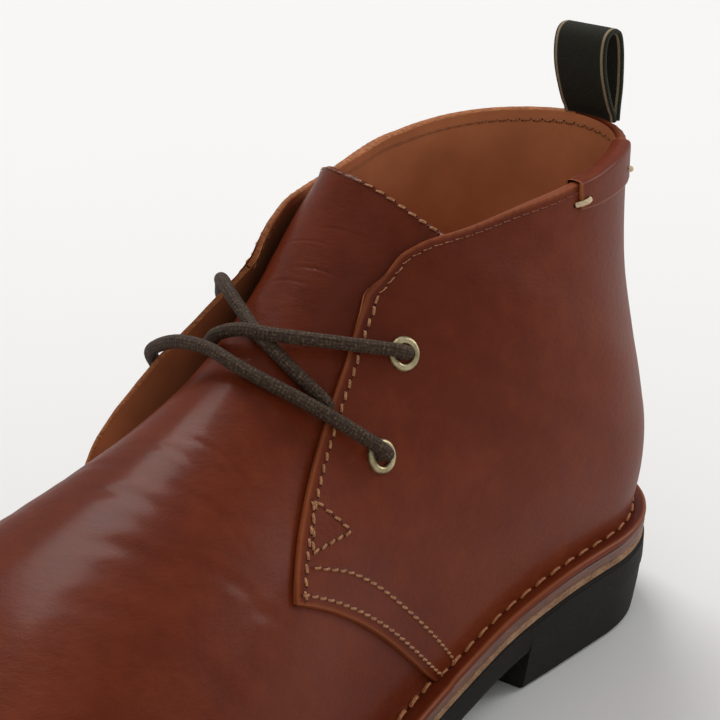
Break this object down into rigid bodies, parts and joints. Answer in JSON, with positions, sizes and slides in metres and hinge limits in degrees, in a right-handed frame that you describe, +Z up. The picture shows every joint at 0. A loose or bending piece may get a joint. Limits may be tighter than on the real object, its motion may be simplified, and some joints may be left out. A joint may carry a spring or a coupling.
{
  "type": "chukka boot",
  "caption": "Left chukka boot in chestnut leather with a stitched-down flange, leather midsole, rubber sole and heel, laced eyelets and a webbing pull loop.",
  "frame": {"origin": "on the floor under the middle of the boot's bounding box", "axes": "+Z up from the floor, -Y towards the toe, +X towards the outer side of this left boot"},
  "size_m": [0.106, 0.3046, 0.1479],
  "materials": {
    "chestnut_leather": "smooth, semi-gloss, pull-up",
    "tan_leather": "matt",
    "midsole_leather": "burnished edge",
    "black_rubber": "matt, speckled",
    "waxed_cord": "round waxed cord",
    "webbing": "woven, with cream lines",
    "antique_brass": "aged, satin"
  },
  "bodies": {
    "root": {"upper": "chestnut_leather", "tongue": "chestnut_leather", "insole": "tan_leather", "midsole": "midsole_leather", "outsole": "black_rubber", "lace": "waxed_cord", "pull_loop": "webbing", "collar_tab": "chestnut_leather", "eyelet_outer_upper": "antique_brass", "eyelet_outer_lower": "antique_brass", "eyelet_inner_upper": "antique_brass", "eyelet_inner_lower": "antique_brass"}
  },
  "joints": []
}
